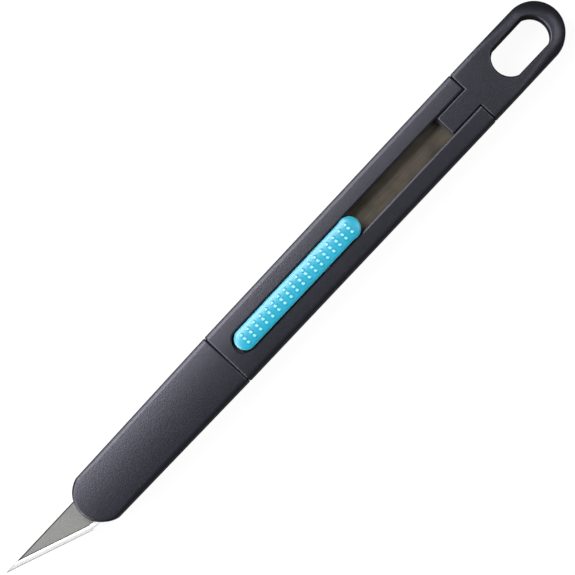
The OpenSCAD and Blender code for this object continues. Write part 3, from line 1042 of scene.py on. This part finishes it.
# The blade's strips lie along its cutting edge, or along its spine
edge_normal = Vector((math.sin(BLADE_ANGLE), math.cos(BLADE_ANGLE), 0))
spine_normal = (0, 1, 0)
edge_at = Vector((blade_lo.x, blade_hi.y, 0)).dot(edge_normal)
bevel_top = edge_at + BEVEL_W
blade_flat = blade_steel(
    "blade_flat_steel",
    dark=(0.125, 0.125, 0.122),
    light=(0.18, 0.18, 0.175),
    metallic=1.0,
    strips=[
        (0.05, edge_normal, bevel_top, bevel_top + 0.14),
        (0.03, spine_normal, blade_hi.y - 0.2, blade_hi.y),
    ],
)
# The bevel's light greys and low metallic are a painted reflection of the lamps, and its near-white
# strip by the flat is a painted highlight
blade_bevel_painted_reflection = blade_steel(
    "blade_ground_bevel",
    dark=(0.36, 0.36, 0.362),
    light=(0.52, 0.52, 0.522),
    metallic=0.15,
    strips=[
        (0.9, edge_normal, bevel_top - 0.36, bevel_top + 0.1),
        (0.2, edge_normal, edge_at - 0.1, edge_at + 0.1),
    ],
)


# ---------------------------------------------------------------- CAD nodes that stay

def keep_node(name, material, edge):
    """A CAD node that stays: small rounded edges and its material."""
    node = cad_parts[name]
    node.data.materials.clear()
    node.data.materials.append(material)
    bevel(node, edge * MM, segments=2, angle=35)


# Node, material, width of its rounded edges in millimetres
KEPT_NODES = (
    ("steel_channel", channel_metal_painted_shade, 0.08),
    ("channel_rivets", rivet_metal, 0.03),
    ("nose_catch", spring_metal, 0.03),
    ("catch_rivet", rivet_metal, 0.04),
    ("tip_spring", spring_metal, 0.02),
    ("rear_bumper", rubber, 0.12),
    ("slide_carriage", dark_plastic, 0.05),
    ("blade_holder", channel_metal_painted_shade, 0.06),
    ("holder_rivets", rivet_metal, 0.04),
    ("blade_stud", rivet_metal, 0.06),
    ("lock_spring", spring_metal, 0.03),
    ("lock_tooth", spring_metal, 0.06),
    ("spring_rivets", rivet_metal, 0.03),
    ("button_core", dark_plastic, 0.05),
    ("button_screws", rivet_metal, 0.04),
)


# ---------------------------------------------------------------- floor, light and camera

def camera_only(tree, seen, lit):
    """Shader that camera rays see as seen and every other ray as lit."""
    path = tree.nodes.new("ShaderNodeLightPath")
    mix = tree.nodes.new("ShaderNodeMixShader")
    tree.links.new(path.outputs["Is Camera Ray"], mix.inputs["Fac"])
    tree.links.new(lit, mix.inputs[1])
    tree.links.new(seen, mix.inputs[2])
    return mix.outputs["Shader"]


def make_floor():
    """Pale floor just under the knife that stays near white in view and gives little light back to it.

    From below it can be seen through.
    """
    bm = bmesh.new()
    bmesh.ops.create_grid(bm, x_segments=8, y_segments=8, size=FLOOR_SIZE)
    bmesh.ops.translate(bm, verts=bm.verts, vec=(0, 0, -FLOOR_DROP * MM))
    floor = new_object("floor", bm)
    floor.data.materials.append(floor_material())


def floor_material():
    """Glowing white for the camera, dim grey for other rays, see-through from below."""
    n = Nodes("pale_floor")
    tree = n.tree
    glow = n.add("ShaderNodeEmission")
    glow.inputs["Color"].default_value = (1, 1, 1, 1)
    glow.inputs["Strength"].default_value = FLOOR_GLOW
    catch = n.add("ShaderNodeBsdfDiffuse")
    cloud_scale = 4.0
    dark = (0.07, 0.07, 0.07)
    light = (0.08, 0.08, 0.08)
    n.link(n.mix(n.noise(n.coords, cloud_scale), dark, light), catch.inputs["Color"])
    both = n.add("ShaderNodeAddShader")
    n.link(glow.outputs[0], both.inputs[0])
    n.link(catch.outputs[0], both.inputs[1])
    dim = n.add("ShaderNodeBsdfDiffuse")
    dim_grey = 0.12
    dim.inputs["Color"].default_value = (dim_grey, dim_grey, dim_grey, 1)
    sides = n.add("ShaderNodeMixShader")
    towards = n.add("ShaderNodeSeparateXYZ")
    n.link(n.add("ShaderNodeNewGeometry").outputs["Incoming"], towards.inputs[0])
    below = n.add("ShaderNodeMath", operation="LESS_THAN")
    n.link(towards.outputs["Z"], below.inputs[0])
    below.inputs[1].default_value = 0.0
    n.link(below.outputs[0], sides.inputs["Fac"])
    n.link(camera_only(tree, both.outputs[0], dim.outputs[0]), sides.inputs[1])
    n.link(n.add("ShaderNodeBsdfTransparent").outputs[0], sides.inputs[2])
    n.link(sides.outputs[0], tree.nodes["Material Output"].inputs["Surface"])
    return n.material


def facing(right, up, back, place):
    """Matrix of a lamp or camera at place, from its three axes."""
    return Matrix.Translation(place) @ Matrix((right, up, back)).transposed().to_4x4()


def soft_box(name, lean_x, lean_y, radiance):
    """Rectangular lamp over the knife.

    lean_x and lean_y are the angles off the vertical, in degrees, between which it hangs. radiance is
    how bright it looks in a mirror.
    """
    mid_x, mid_y = (math.radians(sum(lean) / 2) for lean in (lean_x, lean_y))
    back = Vector((math.tan(mid_x), math.tan(mid_y), 1)).normalized()
    right = Vector((1, 0, 0))
    right = (right - back * right.dot(back)).normalized()
    up = back.cross(right)
    data = bpy.data.lights.new(name, "AREA")
    data.shape = "RECTANGLE"
    data.size, data.size_y = (
        2 * LAMP_DISTANCE * math.tan(math.radians(lean[1] - lean[0]) / 2)
        for lean in (lean_x, lean_y)
    )
    data.energy = radiance * math.pi * data.size * data.size_y
    lamp = bpy.data.objects.new(name, data)
    bpy.context.scene.collection.objects.link(lamp)
    lamp.matrix_world = facing(right, up, back, back * LAMP_DISTANCE)


def make_world():
    """White background for the camera that lights the knife only dimly."""
    world = bpy.data.worlds.new("studio")
    world.use_nodes = True
    tree = world.node_tree
    dim = tree.nodes["Background"]
    dim.inputs["Color"].default_value = (1, 1, 1, 1)
    dim.inputs["Strength"].default_value = ROOM_LIGHT
    pale = tree.nodes.new("ShaderNodeBackground")
    pale.inputs["Strength"].default_value = 1.0
    pale.inputs["Color"].default_value = (1, 1, 1, 1)
    out = tree.nodes["World Output"]
    tree.links.new(camera_only(tree, pale.outputs[0], dim.outputs[0]), out.inputs["Surface"])
    bpy.context.scene.world = world


def make_camera():
    """Looks down on the button side, tipped towards -Y and turned so the handle runs up to the right."""
    axis_turn = math.radians(46.75)
    tilt = math.radians(3.0)
    distance = 1.0
    frame_width = 0.1035
    target = Vector((-0.01543, 0.00086, 0.007))
    data = bpy.data.cameras.new("camera")
    data.sensor_width = 36
    data.lens = data.sensor_width * distance / frame_width
    data.clip_start = 0.01
    data.clip_end = 20
    camera = bpy.data.objects.new("camera", data)
    bpy.context.scene.collection.objects.link(camera)
    back = Vector((0, -math.sin(tilt), math.cos(tilt)))
    up = Vector((math.sin(axis_turn), math.cos(axis_turn), 0))
    up = (up - back * up.dot(back)).normalized()
    right = up.cross(back)
    camera.matrix_world = facing(right, up, back, target + back * distance)
    bpy.context.scene.camera = camera


build_nose()
build_body()
build_cap()
build_button()
build_blade()
for node_name, node_material, node_edge in KEPT_NODES:
    keep_node(node_name, node_material, node_edge)

make_floor()
make_world()
make_camera()
soft_box("key", (-23, 4), (18, 36), 13.6)
soft_box("high_key", (-23, 4), (36, 60), 9.5)
soft_box("front_key", (-55, -23), (5, 40), 4.5)
soft_box("front_low", (-80, -55), (-5, 35), 8.0)
soft_box("fill", (18, 48), (-38, -2), 3.8)

view = bpy.context.scene.view_settings
view.view_transform = "Standard"
view.look = "None"
